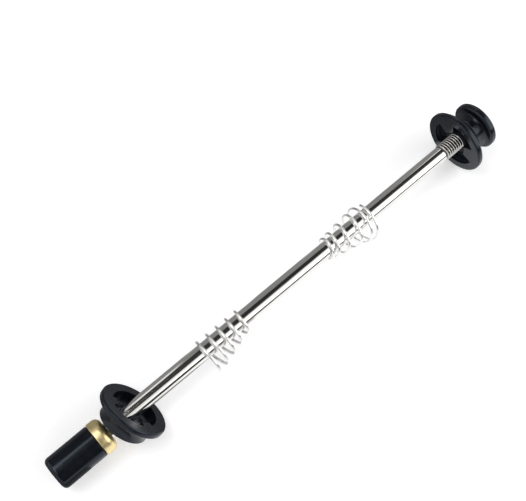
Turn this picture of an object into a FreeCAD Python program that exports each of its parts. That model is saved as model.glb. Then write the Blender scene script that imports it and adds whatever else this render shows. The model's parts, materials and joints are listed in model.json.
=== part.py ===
import FreeCAD, Part
import math
import os
from FreeCAD import Vector

os.makedirs("parts", exist_ok=True)

# Wheel skewer: a plated steel rod with a turned barrel head at one end and a spool nut on the
# thread at the other. A domed brass washer, a pocketed cup and two conical springs ride on the rod.
# Stations are millimetres along the rod from the barrel's inner face, positive towards the nut.

# Rod and its rolled thread, an M5 thread on a 4.5 mm blank
rod_diameter = 4.5
thread_diameter = 5.0
thread_start = 121.0
thread_runout = 0.5
rod_end_chamfer = 0.6
rod_grip_in_barrel = 7.0

# Barrel head, turned with a round end and a hexagon socket for a 5 mm key
barrel_diameter = 9.0
barrel_length = 13.0
barrel_end_round = 1.3
barrel_inner_chamfer = 0.25
socket_across_flats = 5.0
socket_depth = 4.5
socket_countersink = 0.3

# Brass washer: a straight band, then a dome that faces the cup
washer_diameter = 9.3
washer_band = 1.7
washer_dome_height = 1.85
washer_dome_end_diameter = 5.9
washer_edge_chamfer = 0.15

# Cup: a wide flange on a narrower boss, with pockets round the hole
cup_flange_diameter = 18.5
cup_flange_thickness = 1.7
cup_boss_diameter = 13.5
cup_height = 5.8
cup_edge_chamfer = 0.3
cup_boss_chamfer = 0.3
cup_web = 1.2
cup_web_depth = 2.7
cup_pocket_wall = 0.5
cup_pocket_turn = 15.0
cup_rib_angle = 26.0
cup_lean = 32.5
cup_yaw = 5.6
cup_side_shift = 0.65

# Pockets of the cup and of the nut
pocket_count = 3
pocket_corner_round = 0.4

# Springs: conical and wound left-handed, small end towards the middle of the rod
spring_wire = 0.75
spring_small_diameter = 6.5
spring_points_per_turn = 12
barrel_spring_large_diameter = 11.0
barrel_spring_length = 15.8
barrel_spring_turns = 4.8
barrel_spring_closing = 0.0
barrel_spring_start = 138.0
barrel_spring_station = 33.5
barrel_spring_hang = 56.5
nut_spring_large_diameter = 11.4
nut_spring_length = 15.6
nut_spring_turns = 5.5
nut_spring_closing = 0.5
nut_spring_start = 30.0
nut_spring_station = 76.4
nut_spring_hang = 9.3

# Spool nut: pocketed flange, slim neck and a finger disc
nut_station = 126.2
nut_flange_diameter = 18.9
nut_flange_thickness = 2.3
nut_front_chamfer = 0.35
nut_back_chamfer = 0.9
nut_neck_diameter = 8.2
nut_neck_length = 5.4
nut_disc_diameter = 14.0
nut_disc_thickness = 2.3
nut_disc_chamfer = 0.5
nut_pocket_diameter = 13.9
nut_pocket_depth = 1.6
nut_hub_diameter = 7.6
nut_hub_recess = 1.2
nut_pocket_turn = 20.0
nut_rib_angle = 48.0

# Clearances
press_clearance = 0.02
thread_clearance = 0.05
washer_clearance = 0.1
cup_clearance = 0.1
spring_clearance = 0.2
seat_gap = 0.05

# Worked-out sizes
rod_radius = rod_diameter / 2
rod_end = nut_station + nut_flange_thickness + nut_neck_length + nut_disc_thickness / 2
washer_end = washer_band + washer_dome_height
ROD_AXIS = Vector(1, 0, 0)
ORIGIN = Vector(0, 0, 0)


def meridian(x, radius):
    """Point of a turned outline: station along the axis and radius."""
    return Vector(x, 0, radius)


def turned(start, *steps):
    """Solid turned about the X axis. A step is a point, or a pair (through, end) for an arc."""
    edges = []
    here = start
    for step in steps + (start,):
        if isinstance(step, tuple):
            through, end = step
            edges.append(Part.Arc(here, through, end).toShape())
            here = end
        else:
            edges.append(Part.LineSegment(here, step).toShape())
            here = step
    return Part.Face(Part.Wire(edges)).revolve(ORIGIN, ROD_AXIS, 360)


def around(x, radius, degrees):
    """Point at a station, at a radius and an angle from the top towards -Y."""
    angle = math.radians(degrees)
    return Vector(x, -radius * math.sin(angle), radius * math.cos(angle))


def pocket_cutters(inner_radius, outer_radius, depth, turn, rib_angle):
    """Ring of sector pockets cut into a face at station 0 that looks towards +X."""
    half = 180.0 / pocket_count - rib_angle / 2
    cutters = []
    for index in range(pocket_count):
        middle = turn + index * 360.0 / pocket_count
        near_a = around(0, inner_radius, middle - half)
        near_b = around(0, inner_radius, middle + half)
        far_a = around(0, outer_radius, middle - half)
        far_b = around(0, outer_radius, middle + half)
        wire = Part.Wire([
            Part.LineSegment(near_a, far_a).toShape(),
            Part.Arc(far_a, around(0, outer_radius, middle), far_b).toShape(),
            Part.LineSegment(far_b, near_b).toShape(),
            Part.Arc(near_b, around(0, inner_radius, middle), near_a).toShape(),
        ])
        block = Part.Face(wire).extrude(Vector(-depth, 0, 0))
        upright = [edge for edge in block.Edges if is_along_axis(edge) and is_far(edge, inner_radius)]
        cutters.append(block.makeFillet(pocket_corner_round, upright))
    return cutters


def is_along_axis(edge):
    """True for a straight edge parallel to the X axis."""
    ends = [vertex.Point for vertex in edge.Vertexes]
    return len(ends) == 2 and abs((ends[1] - ends[0]).normalize().x) > 0.999


def is_far(edge, radius):
    """True for an edge that stands well outside a radius about the X axis."""
    point = edge.Vertexes[0].Point
    return math.hypot(point.y, point.z) > radius + pocket_corner_round


def skewer_rod():
    """Plain plated rod that steps up to the thread's outer diameter at the nut end."""
    thread_radius = thread_diameter / 2
    return turned(
        meridian(-rod_grip_in_barrel, 0),
        meridian(-rod_grip_in_barrel, rod_radius),
        meridian(thread_start, rod_radius),
        meridian(thread_start + thread_runout, thread_radius),
        meridian(rod_end - rod_end_chamfer, thread_radius),
        meridian(rod_end, thread_radius - rod_end_chamfer),
        meridian(rod_end, 0),
    )


def barrel_head():
    """Turned barrel with a rounded outer end, a hole for the rod and a hexagon socket."""
    radius = barrel_diameter / 2
    bore = rod_radius + press_clearance
    end = -barrel_length
    diagonal = barrel_end_round * (1 - math.sqrt(0.5))
    body = turned(
        meridian(0, bore),
        meridian(0, radius - barrel_inner_chamfer),
        meridian(-barrel_inner_chamfer, radius),
        meridian(end + barrel_end_round, radius),
        (meridian(end + diagonal, radius - diagonal), meridian(end, radius - barrel_end_round)),
        meridian(end, 0),
        meridian(-rod_grip_in_barrel, 0),
        meridian(-rod_grip_in_barrel, bore),
    )
    corner_radius = socket_across_flats / math.sqrt(3)
    corners = [around(end, corner_radius, 90 + 60 * index) for index in range(6)]
    socket = Part.Face(Part.makePolygon(corners + corners[:1])).extrude(Vector(socket_depth, 0, 0))
    mouth = Part.makeCone(corner_radius + socket_countersink, corner_radius - socket_countersink,
                          2 * socket_countersink, Vector(end, 0, 0), ROD_AXIS)
    return body.cut(socket).cut(mouth)


def brass_washer():
    """Washer with a straight band against the barrel and a domed face towards the cup."""
    radius = washer_diameter / 2
    bore = rod_radius + washer_clearance
    end_radius = washer_dome_end_diameter / 2
    drop = radius - end_radius
    dome_radius = (drop ** 2 + washer_dome_height ** 2) / (2 * drop)
    halfway = math.atan2(washer_dome_height, dome_radius - drop) / 2
    bulge = meridian(washer_band + dome_radius * math.sin(halfway),
                     radius - dome_radius * (1 - math.cos(halfway)))
    return turned(
        meridian(0, bore),
        meridian(0, radius - washer_edge_chamfer),
        meridian(washer_edge_chamfer, radius),
        meridian(washer_band, radius),
        (bulge, meridian(washer_end, end_radius)),
        meridian(washer_end, bore),
    )


def cup_pivot_depth():
    """Depth of the middle of the cup's web below its front ring."""
    return cup_web_depth + cup_web / 2


def cup_station():
    """Station of the cup's pivot, with its boss just clear of the washer."""
    lean = math.radians(cup_lean)
    behind = cup_height - cup_pivot_depth()
    back_edge = cup_boss_diameter / 2 - cup_boss_chamfer
    return washer_end + seat_gap + behind * math.cos(lean) + back_edge * math.sin(lean)


def edge_slope(depth, radius):
    """Slope of the rod, in radians, when an edge of the leaning cup and the nut's flange lie on the table."""
    lean = math.radians(cup_lean)
    ahead = cup_pivot_depth() - depth
    low_station = cup_station() + ahead * math.cos(lean) + radius * math.sin(lean)
    rise = nut_flange_diameter / 2 - radius * math.cos(lean) + ahead * math.sin(lean)
    return math.atan2(rise, nut_station + nut_front_chamfer - low_station)


def rest_lean():
    """Slope at which the skewer rests, on whichever of the cup's two back edges meets the table first."""
    return min(
        edge_slope(cup_flange_thickness - cup_edge_chamfer, cup_flange_diameter / 2),
        edge_slope(cup_height - cup_boss_chamfer, cup_boss_diameter / 2),
    )


def rod_reach(distance):
    """Radius in the leaning cup that keeps clear of the rod, at a distance from the cup's pivot."""
    lean = math.radians(cup_lean)
    sideways = cup_side_shift + distance * math.tan(math.radians(cup_yaw))
    off_centre = math.hypot(sideways, distance * math.tan(lean))
    return off_centre + rod_radius / math.cos(lean) + cup_clearance


def cup_washer():
    """Pocketed cup about its own axis, front ring at station 0, looking towards +X."""
    flange = cup_flange_diameter / 2
    boss = cup_boss_diameter / 2
    bore = rod_reach(cup_web / 2)
    web_front = -cup_web_depth
    web_back = web_front - cup_web
    mouth = rod_reach(cup_pivot_depth())
    seat = rod_reach(cup_height - cup_pivot_depth())
    body = turned(
        meridian(web_front, bore),
        meridian(0, mouth),
        meridian(0, flange - cup_edge_chamfer),
        meridian(-cup_edge_chamfer, flange),
        meridian(cup_edge_chamfer - cup_flange_thickness, flange),
        meridian(-cup_flange_thickness, flange - cup_edge_chamfer),
        meridian(-cup_flange_thickness, boss),
        meridian(cup_boss_chamfer - cup_height, boss),
        meridian(-cup_height, boss - cup_boss_chamfer),
        meridian(-cup_height, seat),
        meridian(web_back, bore),
    )
    cutters = pocket_cutters(bore, boss - cup_pocket_wall, cup_web_depth, cup_pocket_turn, cup_rib_angle)
    return body.cut(cutters)


def seat_cup(cup):
    """Lean the cup back on the rod, turn it a little and set it at its station."""
    pivot = Vector(-cup_pivot_depth(), 0, 0)
    cup = cup.copy()
    cup.translate(-pivot)
    cup.rotate(ORIGIN, Vector(0, 1, 0), -cup_lean)
    cup.rotate(ORIGIN, Vector(0, 0, 1), cup_yaw)
    cup.translate(Vector(cup_station(), -cup_side_shift, 0))
    return cup


def conical_spring(large_diameter, length, turns, closing, start):
    """Left-handed conical coil about X, large end at station 0. Closing draws the end turns together."""
    large = (large_diameter - spring_wire) / 2
    small = (spring_small_diameter - spring_wire) / 2
    count = int(round(turns * spring_points_per_turn))
    run = length - spring_wire
    points = []
    for index in range(count + 1):
        share = index / count
        along = share - closing * math.sin(2 * math.pi * share) / (2 * math.pi)
        radius = large + (small - large) * along
        points.append(around(spring_wire / 2 + run * along, radius, start - 360.0 * turns * share))
    curve = Part.BSplineCurve()
    curve.interpolate(points)
    spine = Part.Wire(curve.toShape())
    first = curve.FirstParameter
    ring = Part.Wire(Part.makeCircle(spring_wire / 2, curve.value(first), curve.tangent(first)[0]))
    return spine.makePipeShell([ring], True, True)


def hang_spring(spring, large_diameter, length, station, hang, towards_nut):
    """Hang a spring from the rod by the side of its cone, turned to a hanging angle from straight down."""
    slope = math.atan2((large_diameter - spring_small_diameter) / 2, length - spring_wire)
    drop = large_diameter / 2 - spring_wire / math.cos(slope) - rod_radius / math.cos(slope) - spring_clearance
    spring = spring.copy()
    spring.rotate(ORIGIN, Vector(0, 1, 0), -math.degrees(slope))
    spring.translate(Vector(0, 0, -drop))
    if not towards_nut:
        spring.rotate(ORIGIN, Vector(0, 0, 1), 180)
        spring.translate(Vector(length, 0, 0))
    spring.rotate(ORIGIN, ROD_AXIS, -hang)
    spring.translate(Vector(station, 0, 0))
    return spring


def barrel_side_spring():
    """Spring between the cup and the middle, large end towards the cup."""
    spring = conical_spring(barrel_spring_large_diameter, barrel_spring_length, barrel_spring_turns,
                            barrel_spring_closing, barrel_spring_start)
    return hang_spring(spring, barrel_spring_large_diameter, barrel_spring_length,
                       barrel_spring_station, barrel_spring_hang, True)


def nut_side_spring():
    """Spring between the middle and the nut, large end towards the nut."""
    spring = conical_spring(nut_spring_large_diameter, nut_spring_length, nut_spring_turns,
                            nut_spring_closing, nut_spring_start)
    return hang_spring(spring, nut_spring_large_diameter, nut_spring_length,
                       nut_spring_station, nut_spring_hang, False)


def spool_nut():
    """Nut with a pocketed clamp flange, a slim neck and a finger disc, bored through for the thread."""
    flange = nut_flange_diameter / 2
    neck = nut_neck_diameter / 2
    disc = nut_disc_diameter / 2
    hub = nut_hub_diameter / 2
    bore = thread_diameter / 2 + thread_clearance
    disc_front = nut_flange_thickness + nut_neck_length
    disc_back = disc_front + nut_disc_thickness
    body = turned(
        meridian(nut_hub_recess, bore),
        meridian(nut_hub_recess, hub),
        meridian(0, hub),
        meridian(0, flange - nut_front_chamfer),
        meridian(nut_front_chamfer, flange),
        meridian(nut_flange_thickness - nut_back_chamfer, flange),
        meridian(nut_flange_thickness, flange - nut_back_chamfer),
        meridian(nut_flange_thickness, neck),
        meridian(disc_front, neck),
        meridian(disc_front, disc - nut_disc_chamfer),
        meridian(disc_front + nut_disc_chamfer, disc),
        meridian(disc_back - nut_disc_chamfer, disc),
        meridian(disc_back, disc - nut_disc_chamfer),
        meridian(disc_back, bore),
    )
    cutters = pocket_cutters(hub, nut_pocket_diameter / 2, nut_pocket_depth, -nut_pocket_turn, nut_rib_angle)
    for cutter in cutters:
        cutter.rotate(ORIGIN, Vector(0, 0, 1), 180)
    nut = body.cut(cutters)
    nut.translate(Vector(nut_station, 0, 0))
    return nut


def lay_down(shapes):
    """Lay the parts on the table, with the origin under the middle of the whole."""
    for shape in shapes.values():
        shape.rotate(ORIGIN, Vector(0, 1, 0), -math.degrees(rest_lean()))
    whole = Part.makeCompound(list(shapes.values())).optimalBoundingBox()
    middle = Vector(-whole.Center.x, -whole.Center.y, -whole.ZMin)
    for shape in shapes.values():
        shape.translate(middle)
    return middle


shapes = {
    "skewer_rod": skewer_rod(),
    "barrel_head": barrel_head(),
    "brass_washer": brass_washer(),
    "cup_washer": seat_cup(cup_washer()),
    "barrel_side_spring": barrel_side_spring(),
    "nut_side_spring": nut_side_spring(),
    "spool_nut": spool_nut(),
}
shift = lay_down(shapes)
for name, shape in shapes.items():
    shape.exportStep("parts/" + name + ".step")
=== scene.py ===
import json
import math

import bmesh
import bpy
from bpy.props import FloatProperty, FloatVectorProperty, IntProperty, PointerProperty
from mathutils import Matrix, Quaternion, Vector


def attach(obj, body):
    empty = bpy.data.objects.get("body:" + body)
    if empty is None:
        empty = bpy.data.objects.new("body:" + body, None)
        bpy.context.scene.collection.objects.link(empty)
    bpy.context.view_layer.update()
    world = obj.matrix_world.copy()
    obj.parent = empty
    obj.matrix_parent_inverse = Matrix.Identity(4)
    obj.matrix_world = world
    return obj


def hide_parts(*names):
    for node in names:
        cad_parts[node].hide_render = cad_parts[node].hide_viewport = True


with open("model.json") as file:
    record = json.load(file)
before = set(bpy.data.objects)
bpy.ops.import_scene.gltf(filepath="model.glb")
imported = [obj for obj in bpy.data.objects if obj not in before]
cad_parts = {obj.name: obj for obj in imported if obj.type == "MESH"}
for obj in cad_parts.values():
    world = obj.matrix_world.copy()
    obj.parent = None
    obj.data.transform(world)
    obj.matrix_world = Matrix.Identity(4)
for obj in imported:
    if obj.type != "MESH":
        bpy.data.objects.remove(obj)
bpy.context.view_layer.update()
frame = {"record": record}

bl_info = {
    "name": "Wheel Skewer",
    "version": (1, 0, 0),
    "blender": (4, 5, 0),
    "location": "View3D > Sidebar > Skewer",
    "description": "Finished look of a wheel skewer, built around its solids",
    "category": "Object",
}

MM = 0.001
FULL_TURN = 2 * math.pi
PHOTO_WIDTH = 526
MERGE_DISTANCE = 1e-7

# Steps round a circle
ROUND_STEPS = 96
THREAD_STEPS = 48
POCKET_STEPS = 180

# Patterns, per metre
DRAWN_LINES = (40, 2600, 2600)
PLATE_CLOUDS = (120, 300, 300)
WIRE_GRAIN = (1500, 1500, 1500)
TURNED_RINGS = (9000, 12, 12)
TARNISH = (420, 420, 420)
BLACK_SKIN = (2400, 2400, 2400)
SOFT_CLOUDS = (260, 260, 260)

# Stage, in metres
FLOOR_REACH = 1.5
TABLE_MIDDLE = (0.0, 0.0, 0.01)
SIDE_LAMP_SIZE = (0.9, 0.55)
SIDE_LAMP_PLACE = (0.4, -0.42, 0.33)
BARREL_LAMP_SIZE = (0.24, 0.24)
BARREL_LAMP_PLACE = (-0.17, 0.12, 0.44)
BARREL_LAMP_AIM = (-0.07, 0.0, 0.0)
CARDS_ABOVE = 0.46
CARDS_NEAR = -0.60
CARDS_FAR = 0.50
CARDS_ON_FLOOR = 0.001


# Property helpers

def length(label, words, millimetres):
    """A length property, written in millimetres."""
    return FloatProperty(name=label, description=words, default=millimetres * MM, unit="LENGTH", precision=5)


def angle(label, words, degrees):
    """An angle property, written in degrees."""
    return FloatProperty(name=label, description=words, default=math.radians(degrees), subtype="ANGLE")


def colour(label, words, red, green, blue):
    """A linear colour property."""
    return FloatVectorProperty(name=label, description=words, default=(red, green, blue), size=3,
                               subtype="COLOR", min=0.0, max=1.0)


def factor(label, words, value):
    """A plain number between nought and one."""
    return FloatProperty(name=label, description=words, default=value, min=0.0, max=1.0, subtype="FACTOR")


def power(label, words, watts):
    """A lamp's power property."""
    return FloatProperty(name=label, description=words, default=watts, min=0.0, unit="POWER")


# Sizes and colours that a user would change

class RodSizes(bpy.types.PropertyGroup):
    """Plated rod and its rolled thread."""
    diameter: length("Diameter", "Plain rod", 4.5)
    grip: length("Grip", "Length held inside the barrel", 7.0)
    thread_diameter: length("Thread diameter", "Over the crests", 5.0)
    thread_root: length("Thread root", "Diameter in the grooves", 4.05)
    thread_pitch: length("Thread pitch", "Crest to crest", 0.8)
    thread_start: length("Thread start", "From the barrel's inner face", 121.0)
    thread_runout: length("Thread run-out", "Stretch over which the first ridges rise", 0.6)
    end: length("End", "Rod's end, from the barrel's inner face", 135.05)
    end_chamfer: length("End chamfer", "Chamfer on the threaded end", 0.6)


class BarrelSizes(bpy.types.PropertyGroup):
    """Turned barrel head."""
    diameter: length("Diameter", "Outside", 9.0)
    length: length("Length", "Inner face to outer end", 13.0)
    end_round: length("End round", "Radius of the outer end's edge", 1.3)
    inner_chamfer: length("Inner chamfer", "Edge beside the washer", 0.25)
    socket_flats: length("Socket", "Hexagon across flats", 5.0)
    socket_depth: length("Socket depth", "Depth of the hexagon", 4.5)
    socket_countersink: length("Socket countersink", "Width of the countersink round the corners", 0.3)


class WasherSizes(bpy.types.PropertyGroup):
    """Domed brass washer."""
    diameter: length("Diameter", "Outside of the band", 9.3)
    bore: length("Bore", "Hole for the rod", 4.7)
    band: length("Band", "Straight part beside the barrel", 1.7)
    dome_height: length("Dome height", "From the band to the flat end", 1.85)
    dome_end: length("Dome end", "Diameter of the flat end", 5.9)
    edge_chamfer: length("Edge chamfer", "Edge beside the barrel", 0.15)


class CupSizes(bpy.types.PropertyGroup):
    """Pocketed cup on the loose hole."""
    flange_diameter: length("Flange diameter", "Wide front flange", 18.5)
    flange_thickness: length("Flange thickness", "Rim of the flange", 1.7)
    boss_diameter: length("Boss diameter", "Narrow part behind the flange", 13.5)
    height: length("Height", "Front ring to the boss's back", 5.8)
    edge_chamfer: length("Edge chamfer", "Flange edges", 0.3)
    boss_chamfer: length("Boss chamfer", "Boss's back edge", 0.3)
    web: length("Web", "Thickness of the wall with the hole", 1.2)
    web_depth: length("Web depth", "Front ring to the web", 2.7)
    bore: length("Bore", "Loose hole", 7.146)
    mouth: length("Mouth", "Flare of the hole at the front ring", 10.169)
    seat: length("Seat", "Flare of the hole at the back", 9.19)
    pocket_diameter: length("Pocket diameter", "Outside of the pockets", 12.5)
    pocket_turn: angle("Pocket turn", "Middle of the first pocket from the top", 15.0)
    rib_angle: angle("Rib angle", "Width of the ribs between pockets", 26.0)


class SpringSizes(bpy.types.PropertyGroup):
    """Conical wire springs, both wound left-handed."""
    wire: length("Wire", "Wire diameter", 0.75)
    small_diameter: length("Small end", "Outside diameter of the small end", 6.5)
    clearance: length("Clearance", "Gap between the wire and the rod", 0.2)
    barrel_large: length("Large end, barrel side", "Outside diameter", 11.0)
    barrel_length: length("Length, barrel side", "Free length", 15.8)
    barrel_turns: FloatProperty(name="Turns, barrel side", description="Number of turns", default=4.8)
    barrel_closing: factor("End closing, barrel side", "How far the end turns close up", 0.0)
    barrel_start: angle("Start, barrel side", "Wire's end at the large end, from the top", 138.0)
    barrel_station: length("Station, barrel side", "Left end from the barrel's inner face", 33.5)
    barrel_hang: angle("Hang, barrel side", "Direction that it hangs, from straight down", 56.5)
    nut_large: length("Large end, nut side", "Outside diameter", 11.4)
    nut_length: length("Length, nut side", "Free length", 15.6)
    nut_turns: FloatProperty(name="Turns, nut side", description="Number of turns", default=5.5)
    nut_closing: factor("End closing, nut side", "How far the end turns close up", 0.5)
    nut_start: angle("Start, nut side", "Wire's end at the large end, from the top", 30.0)
    nut_station: length("Station, nut side", "Left end from the barrel's inner face", 76.4)
    nut_hang: angle("Hang, nut side", "Direction that it hangs, from straight down", 9.3)
    points_per_turn: IntProperty(name="Points per turn", description="Smoothness of the coil", default=40)


class NutSizes(bpy.types.PropertyGroup):
    """Spool nut."""
    station: length("Station", "Clamp face from the barrel's inner face", 126.2)
    flange_diameter: length("Flange diameter", "Clamp flange", 18.9)
    flange_thickness: length("Flange thickness", "Clamp flange", 2.3)
    front_chamfer: length("Front chamfer", "Edge of the clamp face", 0.35)
    back_chamfer: length("Back chamfer", "Back edge of the flange", 0.9)
    neck_diameter: length("Neck diameter", "Slim part", 8.2)
    neck_length: length("Neck length", "Flange to disc", 5.4)
    disc_diameter: length("Disc diameter", "Finger disc", 14.0)
    disc_thickness: length("Disc thickness", "Finger disc", 2.3)
    disc_chamfer: length("Disc chamfer", "Edges of the finger disc", 0.5)
    bore: length("Bore", "Hole round the thread", 5.1)
    hub_diameter: length("Hub diameter", "Recess round the thread", 7.6)
    hub_recess: length("Hub recess", "Depth of that recess", 1.2)
    pocket_diameter: length("Pocket diameter", "Outside of the pockets", 13.9)
    pocket_depth: length("Pocket depth", "Depth of the pockets", 1.6)
    pocket_turn: angle("Pocket turn", "Middle of the first pocket from the top", 20.0)
    rib_angle: angle("Rib angle", "Width of the ribs between pockets", 48.0)


class PocketSizes(bpy.types.PropertyGroup):
    """Pockets of the cup and the nut, and edges in general."""
    count: IntProperty(name="Pockets", description="Pockets in the cup and in the nut", default=3, min=2)
    edge_softness: length("Edge softness", "Width of the soft edges of the black castings", 0.14)
    turned_softness: length("Turned edge softness", "Width of the soft edges of turned pieces", 0.1)


class Finishes(bpy.types.PropertyGroup):
    """Colours of the finishes."""
    plating: colour("Plating", "Bright nickel on the rod", 0.80, 0.79, 0.76)
    wire: colour("Wire", "Spring steel", 0.93, 0.925, 0.91)
    brass: colour("Brass", "Turned brass", 0.98, 0.79, 0.41)
    barrel: colour("Barrel", "Gloss black of the barrel", 0.0055, 0.0065, 0.0095)
    casting: colour("Castings", "Gloss black of the cup and the nut", 0.006, 0.007, 0.0105)
    floor: colour("Floor", "Table", 0.86, 0.86, 0.87)


class StageSizes(bpy.types.PropertyGroup):
    """Camera, lamps and cards."""
    camera_place: FloatVectorProperty(name="Camera", description="Place of the camera", size=3, unit="LENGTH",
                                      default=(-66.71 * MM, -62.25 * MM, 235.22 * MM))
    camera_aim: FloatVectorProperty(name="Aim", description="Point on the table in the picture's middle", size=3,
                                    unit="LENGTH", default=(5.17 * MM, 13.72 * MM, 0.0))
    camera_roll: angle("Camera roll", "Turn of the camera about its line of sight", 2.14)
    focal_pixels: FloatProperty(name="Focal length", description="In pixels of the photograph", default=928.4)
    side_power: power("Side lamp", "Large soft lamp on the near side", 2.4)
    barrel_power: power("Barrel lamp", "Soft lamp above the barrel", 0.5)
    room: factor("Room", "Light that the white room gives", 0.55)
    lift: factor("Table lift", "Brightness added to the table where it is seen", 0.38)
    dark_card: factor("Dark cards", "Grey of the dark cards in reflections", 0.035)
    grey_card: factor("Grey cards", "Grey of the far cards in reflections", 0.27)


class SkewerSettings(bpy.types.PropertyGroup):
    """All the settings of the skewer."""
    rod: PointerProperty(type=RodSizes)
    barrel: PointerProperty(type=BarrelSizes)
    washer: PointerProperty(type=WasherSizes)
    cup: PointerProperty(type=CupSizes)
    springs: PointerProperty(type=SpringSizes)
    nut: PointerProperty(type=NutSizes)
    pockets: PointerProperty(type=PocketSizes)
    finishes: PointerProperty(type=Finishes)
    stage: PointerProperty(type=StageSizes)


# Places taken from the frame

def joint(name):
    """A joint of the record by its name."""
    return next(row for row in frame["record"]["behaviour"]["joints"] if row["name"] == name)


def placed(along, across, origin):
    """Matrix whose X runs along and whose Y runs across, at an origin."""
    along = along.normalized()
    across = across.normalized()
    up = along.cross(across)
    matrix = Matrix((along, across, up)).transposed().to_4x4()
    matrix.translation = origin
    return matrix


def rod_place(settings):
    """Frame of the rod: X along its axis, station nought at the barrel's inner face."""
    turn = joint("nut_turn")
    along = Vector(turn["axis"]).normalized()
    return placed(along, Vector((0, 1, 0)), Vector(turn["pos_m"]) - along * settings.nut.station)


def cup_place(settings):
    """Frame of the leaning cup: X along its own axis, station nought at its front ring."""
    tilt = joint("cup_tilt")
    hinge = Vector(tilt["axis"]).normalized()
    rod = Vector(joint("nut_turn")["axis"])
    upright = (rod - hinge * rod.dot(hinge)).normalized()
    lean = math.radians(tilt["range_deg"][1])
    axis = Matrix.Rotation(-lean, 3, hinge) @ upright
    depth = settings.cup.web_depth + settings.cup.web / 2
    return placed(axis, hinge, Vector(tilt["pos_m"]) + axis * depth)


def spring_place(settings, large, free_length, station, hang, towards_nut):
    """Frame of a spring that hangs on the rod by the side of its cone, large end at station nought."""
    springs = settings.springs
    slope = math.atan2((large - springs.small_diameter) / 2, free_length - springs.wire)
    stretch = 1 / math.cos(slope)
    drop = large / 2 - (springs.wire + settings.rod.diameter / 2) * stretch - springs.clearance
    matrix = Matrix.Translation((0, 0, -drop)) @ Matrix.Rotation(-slope, 4, "Y")
    if not towards_nut:
        matrix = Matrix.Translation((free_length, 0, 0)) @ Matrix.Rotation(math.pi, 4, "Z") @ matrix
    matrix = Matrix.Rotation(-hang, 4, "X") @ matrix
    return rod_place(settings) @ Matrix.Translation((station, 0, 0)) @ matrix


# Mesh helpers

def spun(bm, outline, start, sweep, steps, advance=0.0):
    """Turn an outline of (station, radius) points about the X axis from a start angle."""
    verts = []
    for station, radius in outline:
        verts.append(bm.verts.new((station, -radius * math.sin(start), radius * math.cos(start))))
    edges = [bm.edges.new(pair) for pair in zip(verts, verts[1:])]
    full = abs(sweep - FULL_TURN) < 1e-6 and advance == 0.0
    bmesh.ops.spin(bm, geom=verts + edges, cent=(0, 0, 0), axis=(1, 0, 0), dvec=(advance, 0, 0),
                   angle=sweep, steps=steps, use_merge=full, use_normal_flip=False, use_duplicate=False)


def closed_outline(points):
    """Outline that comes back to its first point."""
    return points + points[:1]


def welded(bm):
    """Merge doubles and point all faces outwards."""
    bmesh.ops.remove_doubles(bm, verts=bm.verts[:], dist=MERGE_DISTANCE)
    bmesh.ops.recalc_face_normals(bm, faces=bm.faces[:])


def softened(bm, width, sharpest=math.radians(20), segments=3):
    """Round the sharp outer edges by a small bevel."""
    outer = [edge for edge in bm.edges if edge.is_manifold and edge.is_convex]
    sharp = [edge for edge in outer if edge.calc_face_angle() > sharpest]
    bmesh.ops.bevel(bm, geom=sharp, offset=width, offset_type="OFFSET", segments=segments, profile=0.5,
                    affect="EDGES", clamp_overlap=True, material=-1)


def arc(centre, radius, first, last, count):
    """Points of an arc in an outline, as (station, radius)."""
    points = []
    for index in range(count + 1):
        turn = first + (last - first) * index / count
        points.append((centre[0] + radius * math.cos(turn), centre[1] + radius * math.sin(turn)))
    return points


def piece(name, bm, place, material, node, body):
    """Place a finished mesh, give it its finish and let it stand for its solid."""
    bmesh.ops.transform(bm, matrix=place, verts=bm.verts[:])
    for face in bm.faces:
        face.smooth = True
    mesh = bpy.data.meshes.new(name)
    bm.to_mesh(mesh)
    bm.free()
    dressed(bpy.data.objects.new(name, mesh), material, node, body)


def dressed(obj, material, node, body):
    """Link a piece, give it its material, keep its flat faces flat, tie it to its body and hide the solid that
    it stands for.
    """
    bpy.context.scene.collection.objects.link(obj)
    obj.data.materials.append(material)
    normals = obj.modifiers.new("even_normals", "WEIGHTED_NORMAL")
    normals.keep_sharp = True
    normals.weight = 50
    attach(obj, body)
    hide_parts(node)


# Materials

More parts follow.
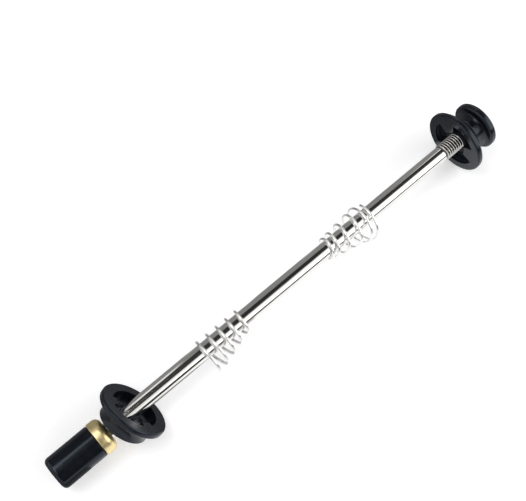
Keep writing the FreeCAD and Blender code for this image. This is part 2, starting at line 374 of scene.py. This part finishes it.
class Shader:
    """A material with its nodes, built step by step."""

    def __init__(self, name):
        self.material = bpy.data.materials.new(name)
        self.material.use_nodes = True
        self.nodes = self.material.node_tree.nodes
        self.links = self.material.node_tree.links
        self.surface = self.nodes["Principled BSDF"]

    def add(self, kind, **values):
        """Add a node and set its plain properties."""
        node = self.nodes.new(kind)
        for key, value in values.items():
            setattr(node, key, value)
        return node

    def link(self, source, target):
        """Join an output to an input."""
        self.links.new(source, target)

    def set(self, **sockets):
        """Set plain values on the surface, by socket name with underscores for spaces."""
        for key, value in sockets.items():
            self.surface.inputs[key.replace("_", " ")].default_value = value

    def coordinates(self, scale, place=None):
        """Object coordinates in the piece's own frame, stretched by a scale along each axis."""
        coordinate = self.add("ShaderNodeTexCoord")
        source = coordinate.outputs["Object"]
        if place is not None:
            inverse = place.inverted()
            align = self.add("ShaderNodeMapping", vector_type="POINT")
            align.inputs["Location"].default_value = inverse.translation
            align.inputs["Rotation"].default_value = inverse.to_euler()
            self.link(source, align.inputs["Vector"])
            source = align.outputs["Vector"]
        stretch = self.add("ShaderNodeMapping", vector_type="POINT")
        stretch.inputs["Scale"].default_value = scale
        self.link(source, stretch.inputs["Vector"])
        return stretch.outputs["Vector"]

    def noise(self, scale, place=None, detail=3.0):
        """Noise factor at a scale per metre along each axis of the piece's own frame."""
        node = self.add("ShaderNodeTexNoise")
        node.inputs["Scale"].default_value = 1.0
        node.inputs["Detail"].default_value = detail
        node.inputs["Roughness"].default_value = 0.55
        self.link(self.coordinates(scale, place), node.inputs["Vector"])
        return node.outputs["Fac"]

    def ramp(self, value, low, high, at=(0.35, 0.65)):
        """Two-stop colour ramp over a value."""
        node = self.add("ShaderNodeValToRGB")
        for element, position, tone in zip(node.color_ramp.elements, at, (low, high)):
            element.position = position
            element.color = (*tone, 1.0) if isinstance(tone, tuple) else (tone, tone, tone, 1.0)
        self.link(value, node.inputs["Fac"])
        return node.outputs["Color"]

    def mix(self, value, first, second):
        """Mix two colour outputs by a value."""
        node = self.add("ShaderNodeMix", data_type="RGBA", blend_type="MIX")
        self.link(value, node.inputs["Factor"])
        self.link(first, node.inputs["A"])
        self.link(second, node.inputs["B"])
        return node.outputs["Result"]

    def bump(self, height, strength, distance):
        """Bump on the surface from a height, in metres."""
        node = self.add("ShaderNodeBump")
        node.inputs["Strength"].default_value = strength
        node.inputs["Distance"].default_value = distance
        self.link(height, node.inputs["Height"])
        self.link(node.outputs["Normal"], self.surface.inputs["Normal"])

    def attribute(self, name):
        """A number that the mesh carries."""
        return self.add("ShaderNodeAttribute", attribute_name=name).outputs["Fac"]

    def feed(self, socket, output):
        """Let an output set a socket of the surface."""
        self.link(output, self.surface.inputs[socket])


def tinted(base, share):
    """A colour made lighter or darker by a share."""
    return tuple(min(1.0, channel * share) for channel in base)


def plating_finish(settings):
    """Bright nickel plate with faint drawing lines and soft clouding, its thread grooves painted dark as shade.
    """
    base = tuple(settings.finishes.plating)
    shader = Shader("rod_plating")
    shader.set(Metallic=1.0)
    place = rod_place(settings)
    lines = shader.noise(DRAWN_LINES, place, detail=2.0)
    clouds = shader.noise(PLATE_CLOUDS, place, detail=4.0)
    dimmer = shader.ramp(lines, tinted(base, 0.88), tinted(base, 1.02))
    brighter = shader.ramp(lines, tinted(base, 0.96), tinted(base, 1.06))
    # Painted shade: the thread grooves are coloured near black, more so the deeper they are.
    groove_shade = shader.ramp(clouds, tinted(base, 0.06), tinted(base, 0.10))
    plate = shader.mix(clouds, dimmer, brighter)
    shader.feed("Base Color", shader.mix(shader.attribute("groove"), plate, groove_shade))
    shader.feed("Roughness", shader.ramp(lines, 0.05, 0.11))
    shader.bump(lines, strength=0.05, distance=0.00002)
    return shader.material


def wire_finish(settings):
    """Bright drawn spring wire, slightly duller than the plating."""
    base = tuple(settings.finishes.wire)
    shader = Shader("spring_steel")
    shader.set(Metallic=1.0)
    grain = shader.noise(WIRE_GRAIN)
    clouds = shader.noise(SOFT_CLOUDS)
    shader.feed("Base Color", shader.ramp(clouds, tinted(base, 0.86), tinted(base, 1.08)))
    shader.feed("Roughness", shader.ramp(grain, 0.12, 0.18))
    shader.bump(grain, strength=0.06, distance=0.00002)
    return shader.material


def brass_finish(settings):
    """Turned brass with fine tool rings and a little tarnish."""
    base = tuple(settings.finishes.brass)
    shader = Shader("washer_brass")
    shader.set(Metallic=1.0)
    place = rod_place(settings)
    rings = shader.noise(TURNED_RINGS, place, detail=2.0)
    tarnish = shader.noise(TARNISH, place, detail=5.0)
    shader.feed("Base Color", shader.ramp(tarnish, tinted(base, 0.82), tinted(base, 1.04)))
    shader.feed("Roughness", shader.ramp(rings, 0.30, 0.40))
    shader.bump(rings, strength=0.16, distance=0.00003)
    return shader.material


def black_finish(name, base, place, smooth, dull):
    """Gloss black with a fine skin and uneven gloss; where the mesh marks a recess it is rougher, and its
    reflection is turned far down as painted shade.
    """
    shader = Shader(name)
    shader.set(Metallic=0.0, IOR=1.4, Specular_Tint=(0.74, 0.88, 1.0, 1.0))
    skin = shader.noise(BLACK_SKIN, place)
    clouds = shader.noise(SOFT_CLOUDS, place, detail=4.0)
    recess = shader.attribute("recess")
    glossy = shader.ramp(clouds, smooth, dull)
    matt = shader.ramp(clouds, 0.45, 0.55)
    shader.feed("Base Color", shader.ramp(clouds, tinted(base, 0.85), tinted(base, 1.2)))
    shader.feed("Roughness", shader.mix(recess, glossy, matt))
    # Painted shade: where the mesh marks a recess the reflection is turned far down, so the nut's pockets read
    # dark.
    shader.feed("Specular IOR Level", shader.ramp(recess, 0.5, 0.08, at=(0.0, 1.0)))
    shader.bump(skin, strength=0.06, distance=0.00003)
    return shader.material


# Pieces

def thread_outline(rod):
    """One pitch of the rolled thread, from groove to groove, with a rounded crest."""
    pitch = rod.thread_pitch
    root = rod.thread_root / 2
    crest = rod.thread_diameter / 2
    rise = crest - root
    shape = ((0.0, 0.0), (0.08, 0.0), (0.2, 0.22), (0.34, 0.72), (0.42, 0.95), (0.5, 1.0),
             (0.58, 0.95), (0.66, 0.72), (0.8, 0.22), (0.92, 0.0), (1.0, 0.0))
    return [(share * pitch, root + height * rise) for share, height in shape]


def thread_screw(rod):
    """Thread shell that is open where it rises out of the plain rod and ends in a chamfer."""
    bm = bmesh.new()
    pitch = rod.thread_pitch
    span = rod.end - rod.thread_start
    turns = math.ceil(span / pitch) + 2
    spun(bm, thread_outline(rod), 0.0, FULL_TURN * turns, THREAD_STEPS * turns, pitch / THREAD_STEPS)
    bmesh.ops.remove_doubles(bm, verts=bm.verts[:], dist=MERGE_DISTANCE)
    bmesh.ops.translate(bm, vec=(rod.thread_start - 1.5 * pitch, 0, 0), verts=bm.verts[:])
    for station, keep_low in ((rod.thread_start, False), (rod.end, True)):
        bmesh.ops.bisect_plane(bm, geom=bm.verts[:] + bm.edges[:] + bm.faces[:], plane_co=(station, 0, 0),
                               plane_no=(1, 0, 0), clear_outer=keep_low, clear_inner=not keep_low)
    blank = rod.diameter / 2
    for vert in bm.verts:
        radius = math.hypot(vert.co.y, vert.co.z)
        grown = min(1.0, (vert.co.x - rod.thread_start) / rod.thread_runout)
        wanted = blank + (radius - blank) * grown
        chamfer = rod.thread_diameter / 2 - max(0.0, vert.co.x - rod.end + rod.end_chamfer)
        scale = min(wanted, chamfer) / radius
        vert.co.y *= scale
        vert.co.z *= scale
    edges = [edge for edge in bm.edges if edge.is_boundary and edge.verts[0].co.x > rod.thread_start + pitch]
    bmesh.ops.holes_fill(bm, edges=edges, sides=0)
    return bm


def rod_mesh(settings):
    """Plain rod and its thread in one closed skin."""
    rod = settings.rod
    bm = thread_screw(rod)
    radius = rod.diameter / 2
    rim = rod.diameter / 20
    outline = [(-rod.grip, 0.0), (-rod.grip, radius), (rim - rod.grip, radius),
               (rod.thread_start - rim, radius), (rod.thread_start - rim / 4, radius)]
    spun(bm, outline, 0.0, FULL_TURN, ROUND_STEPS)
    bmesh.ops.remove_doubles(bm, verts=bm.verts[:], dist=MERGE_DISTANCE)
    bmesh.ops.bridge_loops(bm, edges=[edge for edge in bm.edges if edge.is_boundary])
    welded(bm)
    # How deep each point lies in the thread's grooves; the plating paints shade there by it.
    groove = bm.verts.layers.float.new("groove")
    crest = rod.thread_diameter / 2
    for vert in bm.verts:
        if vert.co.x > rod.thread_start:
            fall = crest - math.hypot(vert.co.y, vert.co.z)
            vert[groove] = min(1.0, max(0.0, fall / (crest - rod.thread_root / 2)))
    return bm


def hexagon_reach(turn, flats):
    """Distance from the centre to a hexagon's side in a direction."""
    sixth = math.pi / 3
    return flats / 2 / math.cos((turn % sixth) - sixth / 2)


def barrel_mesh(settings):
    """Turned barrel with a rounded end and a hexagon socket."""
    barrel = settings.barrel
    radius = barrel.diameter / 2
    end = -barrel.length
    bend = barrel.end_round
    socket = barrel.socket_flats / math.sqrt(3)
    bottom = end + barrel.socket_depth
    bore = settings.rod.diameter / 2
    bm = bmesh.new()
    outline = [(-settings.rod.grip, 0.0), (-settings.rod.grip, bore), (0.0, bore),
               (0.0, radius - barrel.inner_chamfer), (-barrel.inner_chamfer, radius)]
    outline += arc((end + bend, radius - bend), bend, math.pi / 2, math.pi, count=10)
    outline += [(end, socket + barrel.socket_countersink), (end + barrel.socket_countersink, socket),
                (bottom, socket), (bottom, 0.0)]
    spun(bm, outline, 0.0, FULL_TURN, ROUND_STEPS)
    for vert in bm.verts:
        reach = math.hypot(vert.co.y, vert.co.z)
        if abs(reach - socket) < MERGE_DISTANCE and vert.co.x < bottom + MERGE_DISTANCE:
            scale = hexagon_reach(math.atan2(vert.co.z, vert.co.y), barrel.socket_flats) / reach
            vert.co.y *= scale
            vert.co.z *= scale
    welded(bm)
    softened(bm, settings.pockets.turned_softness, sharpest=math.radians(30))
    return bm


def washer_mesh(settings):
    """Brass washer: straight band, domed side and a hole for the rod."""
    washer = settings.washer
    radius = washer.diameter / 2
    bore = washer.bore / 2
    drop = radius - washer.dome_end / 2
    dome = (drop ** 2 + washer.dome_height ** 2) / (2 * drop)
    sweep = math.asin(min(1.0, washer.dome_height / dome))
    bm = bmesh.new()
    outline = [(0.0, bore), (0.0, radius - washer.edge_chamfer), (washer.edge_chamfer, radius)]
    outline += arc((washer.band, radius - dome), dome, math.pi / 2, math.pi / 2 - sweep, count=14)
    outline += [(washer.band + washer.dome_height, bore)]
    spun(bm, closed_outline(outline), 0.0, FULL_TURN, ROUND_STEPS)
    welded(bm)
    softened(bm, settings.pockets.turned_softness / 2, sharpest=math.radians(30))
    return bm


def pocketed_mesh(settings, ribbed, pocketed, turn, rib):
    """Turned piece whose outline changes between ribs and pockets round its axis."""
    pockets = settings.pockets
    pitch = FULL_TURN / pockets.count
    bm = bmesh.new()
    for index in range(pockets.count):
        start = turn + index * pitch - (pitch - rib) / 2
        for outline, first, sweep in ((pocketed, start, pitch - rib), (ribbed, start + pitch - rib, rib)):
            steps = max(2, round(POCKET_STEPS * sweep / FULL_TURN))
            spun(bm, closed_outline(outline), first, sweep, steps)
    bmesh.ops.remove_doubles(bm, verts=bm.verts[:], dist=MERGE_DISTANCE * 10)
    bmesh.ops.holes_fill(bm, edges=[edge for edge in bm.edges if edge.is_boundary], sides=0)
    bmesh.ops.recalc_face_normals(bm, faces=bm.faces[:])
    softened(bm, pockets.edge_softness)
    return bm


def cup_mesh(settings):
    """Cup about its own axis, front ring at station nought."""
    cup = settings.cup
    flange = cup.flange_diameter / 2
    boss = cup.boss_diameter / 2
    bore = cup.bore / 2
    web_front = -cup.web_depth
    outside = [
        (0.0, cup.pocket_diameter / 2),
        (0.0, flange - cup.edge_chamfer),
        (-cup.edge_chamfer, flange),
        (cup.edge_chamfer - cup.flange_thickness, flange),
        (-cup.flange_thickness, flange - cup.edge_chamfer),
        (-cup.flange_thickness, boss),
        (cup.boss_chamfer - cup.height, boss),
        (-cup.height, boss - cup.boss_chamfer),
        (-cup.height, cup.seat / 2),
        (web_front - cup.web, bore),
        (web_front, bore),
    ]
    ribbed = outside + [(0.0, cup.mouth / 2)]
    pocketed = outside + [(web_front, cup.pocket_diameter / 2)]
    return pocketed_mesh(settings, ribbed, pocketed, cup.pocket_turn, cup.rib_angle)


def nut_mesh(settings):
    """Spool nut with its clamp face at station nought, and with its pockets marked as recessed."""
    nut = settings.nut
    flange = nut.flange_diameter / 2
    neck = nut.neck_diameter / 2
    disc = nut.disc_diameter / 2
    hub = nut.hub_diameter / 2
    disc_front = nut.flange_thickness + nut.neck_length
    disc_back = disc_front + nut.disc_thickness
    outside = [
        (0.0, nut.pocket_diameter / 2),
        (0.0, flange - nut.front_chamfer),
        (nut.front_chamfer, flange),
        (nut.flange_thickness - nut.back_chamfer, flange),
        (nut.flange_thickness, flange - nut.back_chamfer),
        (nut.flange_thickness, neck),
        (disc_front, neck),
        (disc_front, disc - nut.disc_chamfer),
        (disc_front + nut.disc_chamfer, disc),
        (disc_back - nut.disc_chamfer, disc),
        (disc_back, disc - nut.disc_chamfer),
        (disc_back, nut.bore / 2),
        (nut.hub_recess, nut.bore / 2),
        (nut.hub_recess, hub),
    ]
    ribbed = outside + [(0.0, hub)]
    pocketed = outside + [(nut.pocket_depth, hub), (nut.pocket_depth, nut.pocket_diameter / 2)]
    bm = pocketed_mesh(settings, ribbed, pocketed, nut.pocket_turn, nut.rib_angle)
    # Depth into the pockets, which the black finish uses to paint shade there.
    recess = bm.verts.layers.float.new("recess")
    for vert in bm.verts:
        radius = math.hypot(vert.co.y, vert.co.z)
        if radius < nut.pocket_diameter / 2 + MERGE_DISTANCE and vert.co.x < nut.pocket_depth + MERGE_DISTANCE:
            vert[recess] = min(1.0, max(0.0, vert.co.x / nut.pocket_depth))
    return bm


def spring_mesh(settings, name, large, free_length, turns, closing, start):
    """Left-handed conical coil as a mesh, large end at station nought, its end turns closed up by a share."""
    springs = settings.springs
    wide = (large - springs.wire) / 2
    narrow = (springs.small_diameter - springs.wire) / 2
    run = free_length - springs.wire
    count = round(turns * springs.points_per_turn)
    coil = bpy.data.curves.new(name, "CURVE")
    coil.dimensions = "3D"
    coil.bevel_depth = springs.wire / 2
    coil.bevel_resolution = 6
    coil.use_fill_caps = True
    line = coil.splines.new("POLY")
    line.points.add(count)
    for index, point in enumerate(line.points):
        share = index / count
        turn = start - FULL_TURN * turns * share
        along = share - closing * math.sin(FULL_TURN * share) / FULL_TURN
        radius = wide + (narrow - wide) * along
        point.co = (springs.wire / 2 + run * along, -radius * math.sin(turn), radius * math.cos(turn), 1.0)
    carrier = bpy.data.objects.new(name, coil)
    bpy.context.scene.collection.objects.link(carrier)
    depsgraph = bpy.context.evaluated_depsgraph_get()
    mesh = bpy.data.meshes.new_from_object(carrier.evaluated_get(depsgraph))
    bpy.data.objects.remove(carrier)
    bpy.data.curves.remove(coil)
    bm = bmesh.new()
    bm.from_mesh(mesh)
    bpy.data.meshes.remove(mesh)
    welded(bm)
    softened(bm, springs.wire / 12, sharpest=math.radians(60), segments=2)
    return bm


# Operators

class SKEWER_OT_rod(bpy.types.Operator):
    """Make the plated rod with its thread"""
    bl_idname = "skewer.make_rod"
    bl_label = "Rod"

    def execute(self, context):
        settings = context.scene.skewer
        piece("rod", rod_mesh(settings), rod_place(settings), plating_finish(settings),
              "skewer_rod", "rod")
        return {"FINISHED"}


class SKEWER_OT_barrel(bpy.types.Operator):
    """Make the black barrel head"""
    bl_idname = "skewer.make_barrel"
    bl_label = "Barrel head"

    def execute(self, context):
        settings = context.scene.skewer
        place = rod_place(settings)
        finish = black_finish("barrel_black", tuple(settings.finishes.barrel), place, smooth=0.14, dull=0.20)
        piece("barrel", barrel_mesh(settings), place, finish, "barrel_head", "rod")
        return {"FINISHED"}


class SKEWER_OT_washer(bpy.types.Operator):
    """Make the domed brass washer"""
    bl_idname = "skewer.make_washer"
    bl_label = "Brass washer"

    def execute(self, context):
        settings = context.scene.skewer
        piece("washer", washer_mesh(settings), rod_place(settings), brass_finish(settings),
              "brass_washer", "washer")
        return {"FINISHED"}


class SKEWER_OT_cup(bpy.types.Operator):
    """Make the pocketed cup"""
    bl_idname = "skewer.make_cup"
    bl_label = "Cup"

    def execute(self, context):
        settings = context.scene.skewer
        place = cup_place(settings)
        finish = black_finish("cup_black", tuple(settings.finishes.casting), place, smooth=0.17, dull=0.28)
        piece("cup", cup_mesh(settings), place, finish, "cup_washer", "cup")
        return {"FINISHED"}


class SKEWER_OT_springs(bpy.types.Operator):
    """Make the two conical springs"""
    bl_idname = "skewer.make_springs"
    bl_label = "Springs"

    def execute(self, context):
        settings = context.scene.skewer
        springs = settings.springs
        finish = wire_finish(settings)
        rows = (
            ("spring_barrel_side", springs.barrel_large, springs.barrel_length, springs.barrel_station,
             springs.barrel_hang, True, (springs.barrel_turns, springs.barrel_closing, springs.barrel_start),
             "barrel_side_spring", "barrel_spring"),
            ("spring_nut_side", springs.nut_large, springs.nut_length, springs.nut_station,
             springs.nut_hang, False, (springs.nut_turns, springs.nut_closing, springs.nut_start),
             "nut_side_spring", "nut_spring"),
        )
        for name, large, free_length, station, hang, towards_nut, winding, node, body in rows:
            place = spring_place(settings, large, free_length, station, hang, towards_nut)
            mesh = spring_mesh(settings, name, large, free_length, *winding)
            piece(name, mesh, place, finish, node, body)
        return {"FINISHED"}


class SKEWER_OT_nut(bpy.types.Operator):
    """Make the spool nut"""
    bl_idname = "skewer.make_nut"
    bl_label = "Spool nut"

    def execute(self, context):
        settings = context.scene.skewer
        place = rod_place(settings) @ Matrix.Translation((settings.nut.station, 0, 0))
        finish = black_finish("nut_black", tuple(settings.finishes.casting), place, smooth=0.15, dull=0.25)
        piece("nut", nut_mesh(settings), place, finish, "spool_nut", "nut")
        return {"FINISHED"}


# Stage

def lamp(name, size, place, aim, watts):
    """A soft rectangular lamp that looks at a point."""
    data = bpy.data.lights.new(name, "AREA")
    data.shape = "RECTANGLE"
    data.size, data.size_y = size
    data.energy = watts
    obj = bpy.data.objects.new(name, data)
    obj.location = place
    obj.rotation_euler = (Vector(aim) - Vector(place)).to_track_quat("-Z", "Y").to_euler()
    bpy.context.scene.collection.objects.link(obj)


def flat(height, *points):
    """Corners of a level card from its (x, y) points."""
    return [(x, y, height) for x, y in points]


def standing(depth, *points):
    """Corners of a card that stands along the rod, from its (x, z) points."""
    return [(x, depth, z) for x, z in points]


def card_rows(stage):
    """Name, grey and corners of each card. The cards glow only in reflections and paint dark and grey
    surroundings into the metal; those on the floor paint a darker floor into the reflections, and the patches by
    the springs a lighter grey one.
    """
    dark = stage.dark_card
    grey = stage.grey_card
    return (
        ("card_above_left", dark, flat(
            CARDS_ABOVE, (-0.12, -0.22), (-0.066, -0.21), (-0.066, 0.34), (-0.12, 0.34))),
        ("card_above", dark, flat(
            CARDS_ABOVE, (-0.052, -0.20), (0.015, -0.19), (0.12, -0.12), (0.40, -0.09), (0.40, 0.30),
            (0.15, 0.34), (-0.052, 0.34))),
        ("card_near_left", dark, (
            (-0.40, CARDS_NEAR, 0.0), (-0.045, CARDS_NEAR, 0.0), (-0.045, -0.15, CARDS_ABOVE),
            (-0.40, -0.15, CARDS_ABOVE))),
        ("card_near_low", dark, standing(
            CARDS_NEAR, (-0.05, 0.0), (0.60, 0.0), (0.60, 0.10), (0.33, 0.13), (0.16, 0.18), (0.05, 0.27),
            (-0.05, 0.27))),
        # Painted reflections: the cards on the floor show only in mirrors, as a dark or grey floor.
        ("card_near_floor", dark, flat(
            CARDS_ON_FLOOR, (-0.07, -0.60), (0.60, -0.60), (0.60, -0.10), (-0.07, -0.07))),
        ("card_far_left", grey / 2, standing(
            CARDS_FAR, (-0.20, 0.0), (-0.035, 0.0), (-0.035, 0.80), (-0.20, 0.80))),
        ("card_far_low", grey, standing(
            CARDS_FAR, (-0.035, 0.0), (0.03, 0.0), (0.03, 0.29), (-0.035, 0.29))),
        ("card_far", grey, standing(
            CARDS_FAR, (0.03, 0.0), (0.40, 0.0), (0.40, 0.80), (0.03, 0.80))),
        ("card_far_floor", grey, flat(
            CARDS_ON_FLOOR, (-0.20, -0.03), (-0.068, -0.03), (-0.066, 0.006), (-0.05, 0.006), (-0.046, -0.012),
            (-0.03, -0.008), (-0.029, 0.020), (-0.006, 0.020), (-0.005, 0.004), (0.013, 0.005), (0.014, 0.022),
            (0.038, 0.022), (0.039, 0.006), (0.40, 0.006), (0.40, 0.50), (-0.20, 0.50))),
        ("card_barrel_spring", grey * 2, flat(
            CARDS_ON_FLOOR, (-0.03, -0.008), (-0.005, 0.004), (-0.006, 0.020), (-0.029, 0.020))),
        ("card_barrel_spring_near", dark, flat(
            CARDS_ON_FLOOR, (-0.022, -0.030), (-0.006, -0.028), (-0.008, -0.016), (-0.024, -0.018))),
        ("card_nut_spring", grey * 2, flat(
            CARDS_ON_FLOOR, (0.013, 0.005), (0.039, 0.006), (0.038, 0.022), (0.014, 0.022))),
    )


class SKEWER_OT_stage(bpy.types.Operator):
    """Make the floor, the room, the lamps, the cards and the camera"""
    bl_idname = "skewer.make_stage"
    bl_label = "Stage"

    def execute(self, context):
        settings = context.scene.skewer
        stage = settings.stage
        make_floor(settings)
        make_world(stage)
        lamp("side_lamp", SIDE_LAMP_SIZE, SIDE_LAMP_PLACE, TABLE_MIDDLE, stage.side_power)
        lamp("barrel_lamp", BARREL_LAMP_SIZE, BARREL_LAMP_PLACE, BARREL_LAMP_AIM, stage.barrel_power)
        for name, grey, corners in card_rows(stage):
            card(name, corners, grey)
        make_camera(stage)
        context.scene.view_settings.view_transform = "Standard"
        return {"FINISHED"}


def seen(nodes, links):
    """Output that is one where the camera, a mirror or glass looks, and nought elsewhere."""
    path = nodes.new("ShaderNodeLightPath")
    total = path.outputs["Is Camera Ray"]
    for name in ("Is Glossy Ray", "Is Transmission Ray"):
        either = nodes.new("ShaderNodeMath")
        either.operation = "MAXIMUM"
        links.new(total, either.inputs[0])
        links.new(path.outputs[name], either.inputs[1])
        total = either.outputs["Value"]
    return total


def stage_object(name, bm, material):
    """Link a piece of the stage."""
    mesh = bpy.data.meshes.new(name)
    bm.to_mesh(mesh)
    bm.free()
    obj = bpy.data.objects.new(name, mesh)
    obj.data.materials.append(material)
    bpy.context.scene.collection.objects.link(obj)
    return obj


def card(name, corners, grey):
    """Flat card that only mirrors show."""
    bm = bmesh.new()
    bm.faces.new([bm.verts.new(corner) for corner in corners])
    material = bpy.data.materials.new(name)
    material.use_nodes = True
    tree = material.node_tree
    glow = tree.nodes.new("ShaderNodeEmission")
    glow.inputs["Color"].default_value = (grey, grey, grey, 1.0)
    tree.links.new(glow.outputs["Emission"], tree.nodes["Material Output"].inputs["Surface"])
    obj = stage_object(name, bm, material)
    obj.visible_camera = False
    obj.visible_diffuse = False
    obj.visible_shadow = False
    obj.visible_transmission = False


def make_floor(settings):
    """Pale table that stays white to the camera and keeps the shadows."""
    bm = bmesh.new()
    bmesh.ops.create_grid(bm, x_segments=1, y_segments=1, size=FLOOR_REACH)
    shader = Shader("floor_white")
    shader.set(Base_Color=(*settings.finishes.floor, 1.0), Roughness=0.7, Specular_IOR_Level=0.2)
    tree = shader.material.node_tree
    shown = seen(tree.nodes, tree.links)
    scale = shader.add("ShaderNodeMath", operation="MULTIPLY")
    shader.link(shown, scale.inputs[0])
    scale.inputs[1].default_value = settings.stage.lift
    shader.set(Emission_Color=(1.0, 1.0, 1.0, 1.0))
    shader.link(scale.outputs["Value"], shader.surface.inputs["Emission Strength"])
    stage_object("floor", bm, shader.material)


def make_world(stage):
    """White room that lights the pieces a little less than it shows."""
    world = bpy.data.worlds.new("surroundings")
    bpy.context.scene.world = world
    world.use_nodes = True
    nodes = world.node_tree.nodes
    links = world.node_tree.links
    light = nodes["Background"]
    light.inputs["Color"].default_value = (1, 1, 1, 1)
    light.inputs["Strength"].default_value = stage.room
    shown = nodes.new("ShaderNodeBackground")
    shown.inputs["Color"].default_value = (1, 1, 1, 1)
    shown.inputs["Strength"].default_value = 1.0
    choice = nodes.new("ShaderNodeMixShader")
    links.new(seen(nodes, links), choice.inputs["Fac"])
    links.new(light.outputs["Background"], choice.inputs[1])
    links.new(shown.outputs["Background"], choice.inputs[2])
    links.new(choice.outputs["Shader"], nodes["World Output"].inputs["Surface"])


def make_camera(stage):
    """Camera at the photograph's place, rolled about its line of sight."""
    data = bpy.data.cameras.new("camera")
    data.sensor_fit = "HORIZONTAL"
    data.lens = stage.focal_pixels / PHOTO_WIDTH * data.sensor_width
    data.clip_start = 0.01
    obj = bpy.data.objects.new("camera", data)
    place = Vector(stage.camera_place)
    obj.location = place
    aimed = (Vector(stage.camera_aim) - place).to_track_quat("-Z", "Y")
    obj.rotation_euler = (aimed @ Quaternion((0, 0, 1), stage.camera_roll)).to_euler()
    bpy.context.scene.collection.objects.link(obj)
    bpy.context.scene.camera = obj


# Panel and registration

class SKEWER_PT_panel(bpy.types.Panel):
    """Sidebar panel with the pieces in order"""
    bl_idname = "SKEWER_PT_panel"
    bl_label = "Wheel Skewer"
    bl_space_type = "VIEW_3D"
    bl_region_type = "UI"
    bl_category = "Skewer"

    def draw(self, context):
        for operator in OPERATORS:
            self.layout.operator(operator.bl_idname)


OPERATORS = (SKEWER_OT_rod, SKEWER_OT_barrel, SKEWER_OT_washer, SKEWER_OT_cup, SKEWER_OT_springs, SKEWER_OT_nut,
             SKEWER_OT_stage)
GROUPS = (RodSizes, BarrelSizes, WasherSizes, CupSizes, SpringSizes, NutSizes, PocketSizes, Finishes, StageSizes,
          SkewerSettings)


def register():
    """Register the classes and the settings."""
    for cls in GROUPS + OPERATORS + (SKEWER_PT_panel,):
        bpy.utils.register_class(cls)
    bpy.types.Scene.skewer = PointerProperty(type=SkewerSettings)


def unregister():
    """Undo what register did."""
    del bpy.types.Scene.skewer
    for cls in reversed(GROUPS + OPERATORS + (SKEWER_PT_panel,)):
        bpy.utils.unregister_class(cls)


def main():
    """Make all the pieces and the stage."""
    register()
    bpy.ops.skewer.make_rod()
    bpy.ops.skewer.make_barrel()
    bpy.ops.skewer.make_washer()
    bpy.ops.skewer.make_cup()
    bpy.ops.skewer.make_springs()
    bpy.ops.skewer.make_nut()
    bpy.ops.skewer.make_stage()


if __name__ == "__main__":
    main()
